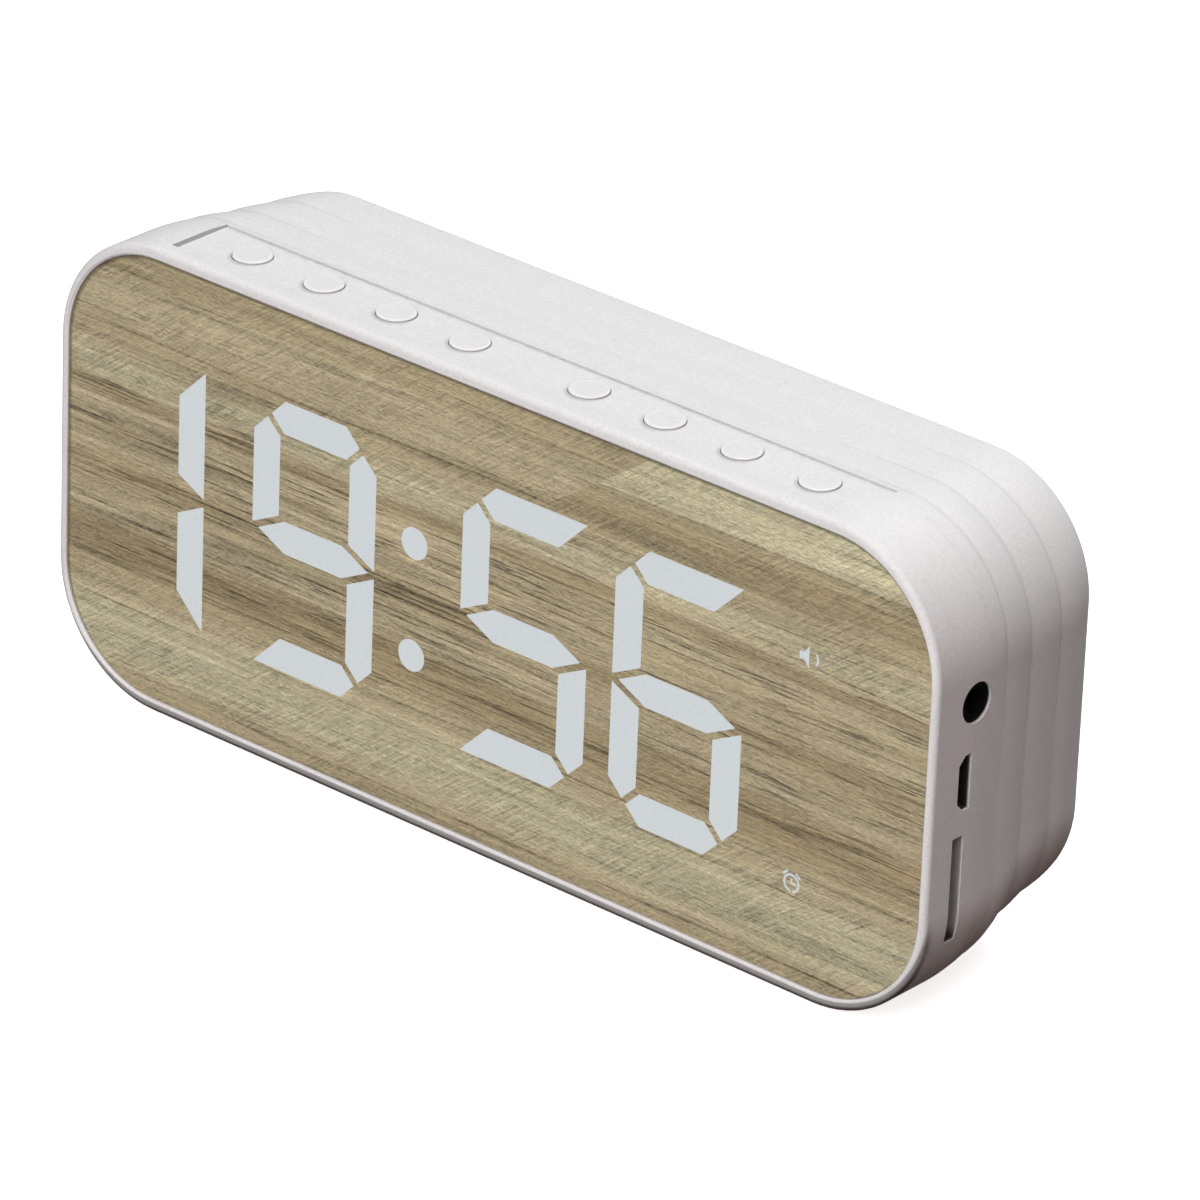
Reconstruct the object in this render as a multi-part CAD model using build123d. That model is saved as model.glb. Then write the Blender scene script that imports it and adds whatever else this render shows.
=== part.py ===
from build123d import *
import os
from math import sqrt
from typing import NamedTuple

# A bedside clock with a wood-look front, eight keys on top, three sockets on the right, two rear speakers.
# X runs to the right, Y to the back and Z up, in millimetres. The origin lies on the table under the middle
# of the case. Depths are measured back from the front of the lip, heights from the middle of the panel.

# Case outline
body_width = 152.8
body_rise = 34.4
body_drop = 34.35
body_corner = 17.9
case_wall = 2.0
front_round = 0.85
back_round = 1.8
seam_lap = 1.5
fit_gap = 0.1
overrun = 1.0

# Bands of the case: their lengths, and how far each crease lies inside the one in front of it
straight_length = 8.4
front_curve_length = 5.85
second_band_length = 6.0
third_band_length = 7.3
fourth_band_length = 9.2
first_side_inset = 0.4
first_top_inset = 0.55
first_bottom_inset = 0.8
first_corner = 17.5
second_side_inset = 0.76
second_top_inset = 0.49
second_bottom_inset = 2.0
second_corner = 18.1
third_side_inset = 0.97
third_top_inset = 0.44
third_bottom_inset = 0.85
third_corner = 18.2
fourth_side_inset = 2.6
fourth_top_inset = 0.85
fourth_bottom_inset = 0.0
fourth_corner = 16.6
mid_band_share = 0.25

# Panel opening, film, panel and the ledge that carries them
side_rim = 1.25
top_rim = 1.8
opening_width = body_width - 2 * side_rim
opening_height = 2 * (body_rise - top_rim)
opening_corner = 16.3
lip_depth = 0.5
lip_bevel = 0.3
film_thickness = 0.25
panel_thickness = 1.1
ledge_thickness = 1.5
ledge_width = 2.15
window_margin = 1.65
window_corner = 3.0

# Seven-segment digits, colon and pictograms, placed from the middle of the panel
digit_width_share = 0.14637
digit_height = 39.7
digit_stroke = 4.75
digit_bevel = 5.55
segment_gap = 0.96
digit_middle = -0.25
hour_tens_share = -0.40486
hour_units_share = -0.19907
minute_tens_share = 0.0491
minute_units_share = 0.22468
colon_share = -0.07951
colon_width = 4.6
colon_upper = 6.87
colon_lower = -9.5
icon_line = 0.32
alarm_share = 0.36028
alarm_height = -18.65
alarm_width = 2.7
bell_length = 1.1
bell_tilt = 40
sound_share = 0.36727
sound_height = 14.0
sound_width = 3.2
icon_cell = 5.0

# Main board, its parts and its screws
board_gap = 0.5
board_thickness = 1.0
led_length = 1.6
led_width = 0.8
led_height = 0.7
led_step = 6.0
board_boss_width = 3.6
board_boss_inset = 33.8
board_screw_width = 1.8
board_screw_length = 2.2
board_head_width = 4.0
board_head_height = 1.3
control_chip_size = 9.0
radio_chip_size = 13.0
amplifier_chip_size = 6.0
chip_height = 1.4
chip_row = 4.0
chip_pitch = 22.0
lead_socket_width = 6.0
lead_socket_height = 4.0
lead_socket_depth = 4.5
lead_socket_row = -14.0
lead_socket_pitch = 14.0

# Key strip, keys and tact switches
strip_inset = 18.2
strip_front = 2.4
strip_back = 13.0
strip_floor = 33.75
key_count = 8
key_first_share = 0.8
key_depth = 8.42
key_width = 5.5
key_proud = 0.3
key_edge_round = 0.2
key_flange_rim = 0.75
key_flange_thickness = 0.8
key_stem_width = 3.0
key_stem_length = 0.9
key_travel = 0.25
plunger_width = 2.6
plunger_length = 2.2
plunger_proud = 1.0
switch_width = 6.0
switch_height = 4.0

# Sockets on the right side
jack_hole_width = 5.7
jack_depth = 8.1
jack_height = 12.5
jack_nose_inset = 0.4
jack_nose_length = 3.0
jack_body_length = 11.0
jack_body_width = 6.4
jack_bore_width = 3.6
jack_bore_length = 13.0
usb_width = 7.8
usb_thickness = 2.45
usb_bevel = 1.2
usb_depth = 6.5
usb_height = 1.7
usb_inset = 0.35
usb_length = 5.4
usb_sheet = 0.25
tongue_width = 4.4
tongue_thickness = 0.6
tongue_length = 3.6
slot_length = 15.1
slot_width = 2.2
slot_depth = 5.85
slot_height = -13.3
card_socket_width = 14.0
card_socket_length = 14.5
card_socket_thickness = 1.9
card_width = 11.4
card_thickness = 1.0
card_reach = 12.0

# Case screws and their bosses
case_boss_inset = 20.4
case_boss_rise = 26.2
case_boss_drop = 24.9
case_boss_width = 6.0
case_boss_length = 8.9
case_screw_width = 2.6
case_screw_grip = 6.5
case_screw_web = 3.6
case_head_width = 5.0
case_head_height = 2.0
well_wall = 1.0
drive_width = 0.7
drive_length = 2.6
drive_depth = 0.6

# Rubber feet
foot_inset = 32.4
foot_length = 18.0
foot_width = 5.0
foot_thickness = 1.3
foot_proud = 0.5
foot_rim = 1.5
rear_foot_depth = 30.0

# Speakers behind the grilles
speaker_inset = 34.4
grille_pitch = 3.0
grille_rings = 5
grille_hole = 1.6
cloth_thickness = 0.3
gasket_thickness = 1.0
gasket_width = 1.4
flange_size = 36.0
flange_thickness = 1.2
flange_corner = 3.0
speaker_screw_inset = 3.5
speaker_boss_width = 4.6
speaker_screw_width = 2.0
speaker_screw_bite = 0.9
speaker_head_width = 3.8
speaker_head_height = 1.2
basket_length = 10.0
basket_sheet = 0.8
basket_taper = 4.5
magnet_rim = 1.0
magnet_length = 7.0
surround_gap = 1.3
cone_lap = 1.8
cone_sheet = 0.5
cone_length = 7.0
cap_width = 10.0

# Battery and the leads
battery_gap = 4.0
battery_height = 34.0
battery_thickness = 7.0
tape_thickness = 0.4
tape_margin = 5.0
lead_width = 1.0
lead_pitch = 1.6
lead_bend = 3.0
battery_lead_run = 8.0
battery_lead_sag = 5.5
speaker_lead_run = 8.0
speaker_lead_climb = 5.0
speaker_lead_gap = 4.0
speaker_lead_inset = 2.6


class Section(NamedTuple):
    """Rounded-rectangle cross-section of the case at one depth."""

    depth: float
    half_width: float
    rise: float
    drop: float
    corner: float


def step_in(section, length, side, top, bottom, corner):
    """Section at the next crease."""
    depth = section.depth + length
    return Section(depth, section.half_width - side, section.rise - top, section.drop - bottom, corner)


front_section = Section(straight_length, body_width / 2, body_rise, body_drop, body_corner)
crease_1 = step_in(
    front_section, front_curve_length, first_side_inset, first_top_inset, first_bottom_inset, first_corner
)
crease_2 = step_in(
    crease_1, second_band_length, second_side_inset, second_top_inset, second_bottom_inset, second_corner
)
crease_3 = step_in(
    crease_2, third_band_length, third_side_inset, third_top_inset, third_bottom_inset, third_corner
)
back_section = step_in(
    crease_3, fourth_band_length, fourth_side_inset, fourth_top_inset, fourth_bottom_inset, fourth_corner
)

# Places that several pieces share
case_depth = back_section.depth
front_y = -case_depth / 2
panel_z = body_drop + foot_proud
film_back = lip_depth + film_thickness
panel_back = film_back + panel_thickness
ledge_back = panel_back + ledge_thickness
board_back = ledge_back + board_thickness
back_inner = case_depth - case_wall
side_x = body_width / 2
roof = body_rise - case_wall
window_width = opening_width - 2 * ledge_width
window_height = digit_height + 2 * window_margin
digit_width = opening_width * digit_width_share
strip_width = body_width - 2 * strip_inset
key_pitch = strip_width / (key_count + 1)
foot_place = side_x - foot_inset
case_boss_place = side_x - case_boss_inset
board_boss_place = side_x - board_boss_inset
speaker_place = side_x - speaker_inset
speaker_height = (case_boss_rise - case_boss_drop) / 2
speaker_screw_place = flange_size / 2 - speaker_screw_inset
speaker_lead_place = speaker_place - speaker_screw_place + speaker_lead_gap
speaker_lead_drop = flange_size / 2 - speaker_lead_inset
battery_width = 2 * (speaker_place - flange_size / 2 - battery_gap)
flange_radius = key_width / 2 + key_flange_rim
flange_top = roof - fit_gap
flange_low = flange_top - key_flange_thickness
stem_low = flange_low - key_stem_length
switch_top = stem_low - plunger_proud
plunger_low = stem_low - plunger_length
switch_low = switch_top - switch_height
board_boss_height = switch_low - fit_gap - board_head_width / 2
case_boss_end = ledge_back + case_boss_length
case_boss_places = [
    (side * case_boss_place, height)
    for side in (-1, 1)
    for height in (case_boss_rise, -case_boss_drop)
]
board_boss_places = [
    (side * board_boss_place, level * board_boss_height)
    for side in (-1, 0, 1)
    for level in (-1, 1)
]
key_places = [
    side * (key_first_share + step) * key_pitch
    for side in (-1, 1)
    for step in range(key_count // 2)
]
key_places.sort()
lead_socket_end = board_back + lead_socket_depth
tape_front = back_inner - tape_thickness
battery_front = tape_front - battery_thickness
cloth_front = back_inner - cloth_thickness
flange_back = cloth_front - gasket_thickness
flange_front = flange_back - flange_thickness
basket_front = flange_front - basket_length
grille_radius = grille_rings * grille_pitch + grille_hole / 2


def at_depth(depth):
    """Upright plane at a depth, with X to the right and height from the middle of the panel."""
    return Plane(origin=(0, front_y + depth, panel_z), x_dir=(1, 0, 0), z_dir=(0, -1, 0))


def slab(profile, near, far):
    """Front-view profile made solid between two depths."""
    return extrude(at_depth(near) * profile, far - near, dir=(0, 1, 0))


def taper(near_profile, far_profile, near, far):
    """Solid that runs from one front-view profile to another."""
    return loft([at_depth(near) * near_profile, at_depth(far) * far_profile])


def post(profile, low, high):
    """Top-view profile, in X and depth, made solid between two heights."""
    return extrude(Plane(origin=(0, front_y, panel_z + low)) * profile, high - low, dir=(0, 0, 1))


def across(profile, left, right):
    """Side-view profile, in depth and height, made solid between two X places."""
    side = Plane(origin=(left, front_y, panel_z), x_dir=(0, 1, 0), z_dir=(1, 0, 0))
    return extrude(side * profile, right - left, dir=(1, 0, 0))


def group(pieces):
    """Separate solids in one node."""
    return Part() + list(pieces)


def outline(section, shrink=0):
    """Front-view outline of the case at a section, drawn in by a wall."""
    width = 2 * (section.half_width - shrink)
    height = section.rise + section.drop - 2 * shrink
    middle = (section.rise - section.drop) / 2
    return Pos(0, middle) * RectangleRounded(width, height, section.corner - shrink)


def band(start, end, shrink=0):
    """One band: it leaves its front crease straight and curves in toward its rear crease."""
    middle = Section(*(a + mid_band_share * (b - a) for a, b in zip(start, end)))
    middle = middle._replace(depth=(start.depth + end.depth) / 2)
    return loft([at_depth(place.depth) * outline(place, shrink) for place in (start, middle, end)])


def opening(shrink=0):
    """Outline of the panel opening."""
    width = opening_width - 2 * shrink
    return RectangleRounded(width, opening_height - 2 * shrink, opening_corner - shrink)


def usb_outline(shrink=0):
    """Side-view outline of the USB mouth, with its two bevels toward the front."""
    half_depth = usb_thickness / 2 - shrink
    half_height = usb_width / 2 - shrink
    return Pos(usb_depth, usb_height) * Polygon(
        (half_depth, -half_height),
        (half_depth, half_height),
        (usb_bevel - half_depth, half_height),
        (-half_depth, half_height - usb_bevel),
        (-half_depth, usb_bevel - half_height),
        (usb_bevel - half_depth, -half_height),
        align=None,
    )


def foot_profile(depth, side, rim=0):
    """Top-view outline of one foot."""
    return Pos(side * foot_place, depth) * SlotOverall(foot_length + 2 * rim, foot_width + 2 * rim)


front_foot_depth = (front_round + straight_length) / 2
foot_top = foot_thickness - foot_proud - body_drop


def front_case():
    """Front shell: lip, ledge, key strip, socket holes and bosses."""
    shell = slab(outline(front_section), 0, straight_length)
    shell = fillet(shell.faces().sort_by(Axis.Y)[0].edges(), front_round)
    shell += band(front_section, crease_1)
    shell -= slab(outline(front_section, case_wall), ledge_back, straight_length)
    shell -= band(front_section, crease_1, case_wall)
    shell -= slab(outline(crease_1, case_wall / 2), crease_1.depth - seam_lap - fit_gap, crease_1.depth)
    shell -= slab(opening(), -overrun, panel_back)
    shell -= taper(opening(-lip_bevel), opening(), 0, lip_bevel)
    shell -= slab(RectangleRounded(window_width, window_height, window_corner), 0, ledge_back + overrun)

    strip = Pos(0, (strip_front + strip_back) / 2) * Rectangle(strip_width, strip_back - strip_front)
    shell -= post(strip, strip_floor, body_rise)
    for place in key_places:
        shell -= post(Pos(place, key_depth) * Circle(key_width / 2 + fit_gap), roof, body_rise)
        shell -= post(Pos(place, key_depth) * Circle(flange_radius + fit_gap), roof - case_wall, roof)
    jack_mouth = Pos(jack_depth, jack_height) * Circle(jack_hole_width / 2)
    card_mouth = Pos(slot_depth, slot_height) * Rectangle(slot_width, slot_length)
    for mouth in (jack_mouth, usb_outline(), card_mouth):
        shell -= across(mouth, side_x - 2 * case_wall, side_x)
    for side in (-1, 1):
        shell -= post(foot_profile(front_foot_depth, side), -body_drop, foot_top)

    for place in case_boss_places:
        shell += slab(Pos(*place) * Circle(case_boss_width / 2), ledge_back, case_boss_end)
        pilot = Pos(*place) * Circle(case_screw_width / 2 + fit_gap)
        shell -= slab(pilot, case_boss_end - case_screw_grip - overrun, case_boss_end)
    for place in board_boss_places:
        shell += slab(Pos(*place) * Circle(board_boss_width / 2), ledge_back, board_back)
        pilot = Pos(*place) * Circle(board_screw_width / 2 + fit_gap)
        shell -= slab(pilot, board_back - board_screw_length - fit_gap, board_back)
    return shell


def rear_case():
    """Rear shell: three bands, screw wells, speaker seats, grilles and rear foot pads."""
    shell = band(crease_1, crease_2) + band(crease_2, crease_3) + band(crease_3, back_section)
    shell = fillet(shell.faces().sort_by(Axis.Y)[-1].edges(), back_round)
    pad_top = case_wall / 2 - crease_3.drop
    for side in (-1, 1):
        shell += post(foot_profile(rear_foot_depth, side, foot_rim), -body_drop, pad_top)
        shell -= post(foot_profile(rear_foot_depth, side), -body_drop, foot_top)
    inner_end = back_section._replace(depth=back_inner)
    shell -= band(crease_1, crease_2, case_wall)
    shell -= band(crease_2, crease_3, case_wall)
    shell -= band(crease_3, inner_end, case_wall)
    lap = outline(crease_1, case_wall / 2 + fit_gap) - outline(crease_1, case_wall)
    shell += slab(lap, crease_1.depth - seam_lap, crease_1.depth)

    well_radius = case_head_width / 2 + fit_gap
    well_start = case_boss_end + case_screw_web
    for place in case_boss_places:
        shell += slab(Pos(*place) * Circle(well_radius + well_wall), case_boss_end + fit_gap, back_inner)
        shell -= slab(Pos(*place) * Circle(well_radius), well_start, case_depth)
        shell -= slab(Pos(*place) * Circle(case_screw_width / 2 + fit_gap), case_boss_end, well_start)

    for side in (-1, 1):
        for place in speaker_screw_places(side):
            shell += slab(Pos(*place) * Circle(speaker_boss_width / 2), flange_back, back_inner)
            pilot = Pos(*place) * Circle(speaker_screw_width / 2 + fit_gap)
            shell -= slab(pilot, flange_back, back_inner + speaker_screw_bite + fit_gap)
        shell -= slab(grille_holes(side), back_inner, case_depth)
    return shell


def speaker_screw_places(side):
    """Corners of one square speaker flange."""
    middle = side * speaker_place
    return [
        (middle + across_step * speaker_screw_place, speaker_height + up_step * speaker_screw_place)
        for across_step in (-1, 1)
        for up_step in (-1, 1)
    ]


def grille_holes(side):
    """Rings of round holes in front of one speaker."""
    hole = Circle(grille_hole / 2)
    holes = Sketch() + hole
    for ring in range(1, grille_rings + 1):
        holes += PolarLocations(ring * grille_pitch, 6 * ring) * hole
    return Pos(side * speaker_place, speaker_height) * holes


# Digits: a is the top bar, then b to f clockwise, and g is the middle bar
half_digit = digit_width / 2
high_digit = digit_height / 2
corner_shift = segment_gap / 2 * sqrt(2)
tip_shift = segment_gap / 2 * sqrt(5)
side_shift = tip_shift / 2
bevel_reach = (digit_bevel - corner_shift) / 2


def bar_end(bevelled):
    """Right end of the top bar, from its inner corner to its outer edge."""
    inner = (half_digit - digit_stroke - corner_shift, high_digit - digit_stroke)
    if bevelled:
        tip = (half_digit - corner_shift - bevel_reach, high_digit - bevel_reach)
        return [inner, tip, (half_digit - digit_bevel, high_digit)]
    return [inner, (half_digit - corner_shift, high_digit)]


def top_bar(left_bevelled, right_bevelled):
    """Outline of the top bar."""
    left = [(-x, y) for x, y in reversed(bar_end(left_bevelled))]
    return bar_end(right_bevelled) + left


def side_bar(bevelled):
    """Outline of the upper right bar."""
    inner_x = half_digit - digit_stroke
    points = [(inner_x, digit_stroke / 2 + side_shift), (half_digit, side_shift)]
    if bevelled:
        points.append((half_digit, high_digit - digit_bevel))
        points.append((half_digit - bevel_reach, high_digit - corner_shift - bevel_reach))
    else:
        points.append((half_digit, high_digit - corner_shift))
    return points + [(inner_x, high_digit - digit_stroke - corner_shift)]


def middle_bar():
    """Outline of the middle bar, pointed at both ends."""
    tip = half_digit - tip_shift
    shoulder = tip - digit_stroke
    half_stroke = digit_stroke / 2
    right = [(shoulder, -half_stroke), (tip, 0), (shoulder, half_stroke)]
    return right + [(-x, -y) for x, y in right]


def digit_bars(lit):
    """Outlines of the lit bars; a corner is bevelled where both bars that meet there are lit."""

    def both(first, second):
        return first in lit and second in lit

    def turned(points, x_sign, y_sign):
        return [(x * x_sign, y * y_sign) for x, y in points]

    bars = {
        "a": top_bar(both("a", "f"), both("a", "b")),
        "b": side_bar(both("a", "b")),
        "c": turned(side_bar(both("c", "d")), 1, -1),
        "d": turned(top_bar(both("d", "e"), both("c", "d")), 1, -1),
        "e": turned(side_bar(both("d", "e")), -1, -1),
        "f": turned(side_bar(both("a", "f")), -1, 1),
        "g": middle_bar(),
    }
    return [Polygon(*bars[name], align=None) for name in lit]


all_bars = "abcdefg"
digits = {
    "hour_tens_digit": (opening_width * hour_tens_share, "bc"),
    "hour_units_digit": (opening_width * hour_units_share, "abcdfg"),
    "minute_tens_digit": (opening_width * minute_tens_share, "acdfg"),
    "minute_units_digit": (opening_width * minute_units_share, "acdefg"),
}
colon_place = opening_width * colon_share
alarm_place = opening_width * alarm_share
sound_place = opening_width * sound_share
colon_points = [(colon_place, colon_upper), (colon_place, colon_lower)]
icon_points = [(alarm_place, alarm_height), (sound_place, sound_height)]


def digit(place, lit):
    """Lit bars of one digit, flush with the film."""
    bars = [Pos(place, digit_middle) * bar for bar in digit_bars(lit)]
    return group(slab(bar, lip_depth, film_back) for bar in bars)


def colon_dots():
    """Two round dots between hours and minutes."""
    dot = Circle(colon_width / 2)
    return group(slab(Pos(*point) * dot, lip_depth, film_back) for point in colon_points)


def alarm_icon():
    """Alarm clock pictogram: a ring, two hands and two bells."""
    radius = alarm_width / 2
    break_in_ring = Pos(0, -radius) * Rectangle(icon_line, 3 * icon_line)
    ring = Circle(radius) - Circle(radius - icon_line) - break_in_ring
    hand = radius - 2 * icon_line
    hands = Pos(0, hand / 2) * Rectangle(icon_line, hand) + Pos(hand / 2, 0) * Rectangle(hand, icon_line)
    bell = Pos(0, radius + icon_line) * SlotOverall(bell_length, icon_line)
    marks = [ring, hands, Rot(0, 0, bell_tilt) * bell, Rot(0, 0, -bell_tilt) * bell]
    return group(slab(Pos(alarm_place, alarm_height) * mark, lip_depth, film_back) for mark in marks)


def sound_icon():
    """Loudspeaker pictogram: a horn and one sound wave."""
    half = sound_width / 2
    throat = half / 3
    upper = [(0, half), (-half / 2, throat), (-half, throat)]
    lower = [(x, -y) for x, y in reversed(upper)]
    horn = Polygon(*upper, *lower, align=None)
    wave = Circle(half) - Circle(half - icon_line)
    wave &= Pos(half, 0) * Rectangle(sound_width - 2 * icon_line, sound_width / 2)
    return group(slab(Pos(sound_place, sound_height) * mark, lip_depth, film_back) for mark in (horn, wave))


def wood_film(marks):
    """Printed film with a window for every lit mark."""
    film = slab(opening(fit_gap), lip_depth, film_back)
    for mark in marks:
        film -= mark
    return film


def display_panel():
    """Translucent sheet that carries the film."""
    return slab(opening(fit_gap), film_back, panel_back)


def light_box():
    """Reflector with a cell behind every bar, dot and pictogram."""
    width = window_width - 2 * fit_gap
    plate = RectangleRounded(width, window_height - 2 * fit_gap, window_corner - fit_gap)
    for place, _ in digits.values():
        for bar in digit_bars(all_bars):
            plate -= Pos(place, digit_middle) * bar
    for point in colon_points:
        plate -= Pos(*point) * Circle(colon_width / 2)
    for point in icon_points:
        plate -= Pos(*point) * Rectangle(icon_cell, icon_cell)
    return slab(plate, panel_back, ledge_back)


def segment_leds():
    """Two LEDs behind every bar and one behind each dot and pictogram."""
    level = high_digit - digit_stroke / 2
    column = half_digit - digit_stroke / 2
    half_step = led_step / 2
    flat_bars = [(0, level), (0, 0), (0, -level)]
    upright_bars = [(x, y) for x in (-column, column) for y in (-high_digit / 2, high_digit / 2)]
    spots = [(x + step, y) for x, y in flat_bars for step in (-half_step, half_step)]
    spots += [(x, y + step) for x, y in upright_bars for step in (-half_step, half_step)]
    points = [(place + x, digit_middle + y) for place, _ in digits.values() for x, y in spots]
    points += colon_points + icon_points
    chip = Rectangle(led_length, led_width)
    return group(slab(Pos(*point) * chip, ledge_back - led_height, ledge_back) for point in points)


def main_board():
    """Circuit board that closes the light box, with holes for the bosses."""
    board = outline(front_section, case_wall + board_gap)
    for place in case_boss_places:
        board -= Pos(*place) * Circle(case_boss_width / 2 + fit_gap)
    for place in board_boss_places:
        board -= Pos(*place) * Circle(board_boss_width / 2 + fit_gap)
    return slab(board, ledge_back, board_back)


def screw(place, head_seat, head_end, tip, head_width, shank_width):
    """Pan-head screw with a cross recess, its head toward the back."""
    body = slab(Pos(*place) * Circle(head_width / 2), head_seat, head_end)
    body += slab(Pos(*place) * Circle(shank_width / 2), tip, head_seat)
    slot = Rectangle(drive_length, drive_width) + Rectangle(drive_width, drive_length)
    return body - slab(Pos(*place) * slot, head_end - drive_depth, head_end)


def board_screws():
    """Short screws that clamp the board to its bosses."""
    head_end = board_back + board_head_height
    tip = board_back - board_screw_length
    return group(
        screw(place, board_back, head_end, tip, board_head_width, board_screw_width)
        for place in board_boss_places
    )


def case_screws():
    """Screws at the bottom of the rear wells, into the front bosses."""
    seat = case_boss_end + case_screw_web
    tip = case_boss_end - case_screw_grip
    return group(
        screw(place, seat, seat + case_head_height, tip, case_head_width, case_screw_width)
        for place in case_boss_places
    )


def board_chips():
    """Control, radio and amplifier chips on the back of the board."""
    sizes = [(-chip_pitch, radio_chip_size), (0, control_chip_size), (chip_pitch, amplifier_chip_size)]
    return group(
        slab(Pos(place, chip_row) * Rectangle(size, size), board_back, board_back + chip_height)
        for place, size in sizes
    )


def lead_sockets():
    """Plug-in sockets for the battery and speaker leads."""
    block = Rectangle(lead_socket_width, lead_socket_height)
    return group(
        slab(Pos(step * lead_socket_pitch, lead_socket_row) * block, board_back, lead_socket_end)
        for step in (-1, 0, 1)
    )


def button(place):
    """Key: a round cap, a flange that holds it under the roof, and a stem on the switch."""
    spot = Pos(place, key_depth)
    cap_top = strip_floor + key_proud
    cap = post(spot * Circle(key_width / 2), flange_top, cap_top)
    cap = fillet(cap.edges().sort_by(Axis.Z)[-1], key_edge_round)
    flange = post(spot * Circle(flange_radius), flange_low, flange_top)
    return cap + flange + post(spot * Circle(key_stem_width / 2), stem_low, flange_low)


def switch_plunger(place):
    """Moving plunger of one tact switch."""
    return post(Pos(place, key_depth) * Circle(plunger_width / 2), plunger_low, stem_low)


def tact_switches():
    """Side-push switches along the top of the board."""
    reach = key_depth + switch_width / 2
    floor = plunger_low - key_travel - fit_gap
    switches = []
    for place in key_places:
        block = Pos(place, (board_back + reach) / 2) * Rectangle(switch_width, reach - board_back)
        body = post(block, switch_low, switch_top)
        well = Pos(place, key_depth) * Circle(plunger_width / 2 + fit_gap)
        switches.append(body - post(well, floor, switch_top))
    return group(switches)


def audio_jack():
    """Jack with a round nose in the side hole and a bore for the plug."""
    nose_end = side_x - jack_nose_inset
    body_end = nose_end - jack_nose_length
    spot = Pos(jack_depth, jack_height)
    block = spot * Rectangle(2 * (jack_depth - board_back), jack_body_width)
    body = across(block, body_end - jack_body_length, body_end)
    body += across(spot * Circle(jack_hole_width / 2 - fit_gap), body_end, nose_end)
    return body - across(spot * Circle(jack_bore_width / 2), nose_end - jack_bore_length, nose_end)


usb_mouth = side_x - usb_inset
usb_end = usb_mouth - usb_length


def usb_shell():
    """Folded steel shell of the USB socket, with a solder foot on the board."""
    shell = across(usb_outline(fit_gap), usb_end, usb_mouth)
    shell -= across(usb_outline(fit_gap + usb_sheet), usb_end + usb_sheet, usb_mouth)
    base = usb_depth - usb_thickness / 2 + fit_gap
    foot = Pos((board_back + base) / 2, usb_height) * Rectangle(base - board_back, usb_width / 2)
    return shell + across(foot, usb_end, side_x - case_wall - board_gap)


def usb_tongue():
    """Contact tongue inside the USB shell."""
    root = usb_end + usb_sheet
    tongue = Pos(usb_depth, usb_height) * Rectangle(tongue_thickness, tongue_width)
    return across(tongue, root, root + tongue_length)


def card_socket():
    """Card socket behind the side slot, open toward it."""
    mouth = side_x - case_wall - board_gap
    middle = board_back + card_socket_thickness / 2
    body = Pos(middle, slot_height) * Rectangle(card_socket_thickness, card_socket_width)
    gap = Pos(middle, slot_height) * Rectangle(card_thickness, card_width)
    return across(body, mouth - card_socket_length, mouth) - across(gap, mouth - card_reach, mouth)


def rubber_feet():
    """Four rubber feet, two under the front band and two under the raised rear pads."""
    return group(
        post(foot_profile(depth, side), -panel_z, foot_top)
        for depth in (front_foot_depth, rear_foot_depth)
        for side in (-1, 1)
    )


def disc(side, width, near, far):
    """Round plate on a speaker's axis."""
    return slab(Pos(side * speaker_place, speaker_height) * Circle(width / 2), near, far)


def dish(side, near_width, far_width, near, far):
    """Cone on a speaker's axis."""
    spot = Pos(side * speaker_place, speaker_height)
    return taper(spot * Circle(near_width / 2), spot * Circle(far_width / 2), near, far)


basket_width = flange_size - flange_corner
basket_mouth = basket_width - 2 * basket_sheet
basket_rear_width = basket_width - 2 * basket_taper
magnet_width = basket_rear_width - 2 * magnet_rim
cone_width = basket_mouth - 2 * surround_gap


def speaker_basket(side):
    """Steel basket: a square flange and a dish that carries the magnet."""
    middle = Pos(side * speaker_place, speaker_height)
    flange = middle * RectangleRounded(flange_size, flange_size, flange_corner)
    for place in speaker_screw_places(side):
        flange -= Pos(*place) * Circle(speaker_screw_width / 2 + fit_gap)
    basket = slab(flange, flange_front, flange_back)
    basket += dish(side, basket_rear_width, basket_width, basket_front, flange_front)
    inner_rear = basket_rear_width - 2 * basket_sheet
    basket -= dish(side, inner_rear, basket_mouth, basket_front + basket_sheet, flange_front)
    return basket - disc(side, basket_mouth, flange_front, flange_back)


def speaker_magnet(side):
    """Magnet on the back of the basket."""
    return disc(side, magnet_width, basket_front - magnet_length, basket_front)


def speaker_cone(side):
    """Cone with its dust cap, and the rim that is glued to the flange."""
    rim_width = basket_mouth + cone_lap
    rim = disc(side, rim_width, flange_back, flange_back + cone_sheet)
    rim -= disc(side, cone_width, flange_back, flange_back + cone_sheet)
    deep = flange_back - cone_length
    cone = dish(side, cap_width, cone_width + 2 * cone_sheet, deep, flange_back + cone_sheet)
    hollow_back = flange_back + 2 * cone_sheet
    return rim + cone - dish(side, cap_width, cone_width, deep + cone_sheet, hollow_back)


def speaker_gaskets():
    """Foam rings between the flanges and the rear wall."""
    inner = basket_mouth + cone_lap + 2 * fit_gap
    outer = inner + 2 * gasket_width
    return group(
        disc(side, outer, flange_back, cloth_front) - disc(side, inner, flange_back, cloth_front)
        for side in (-1, 1)
    )


def grille_cloths():
    """Dust cloths behind the grille holes."""
    width = basket_mouth + cone_lap + 2 * fit_gap + 2 * gasket_width
    return group(disc(side, width, cloth_front, back_inner) for side in (-1, 1))


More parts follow.
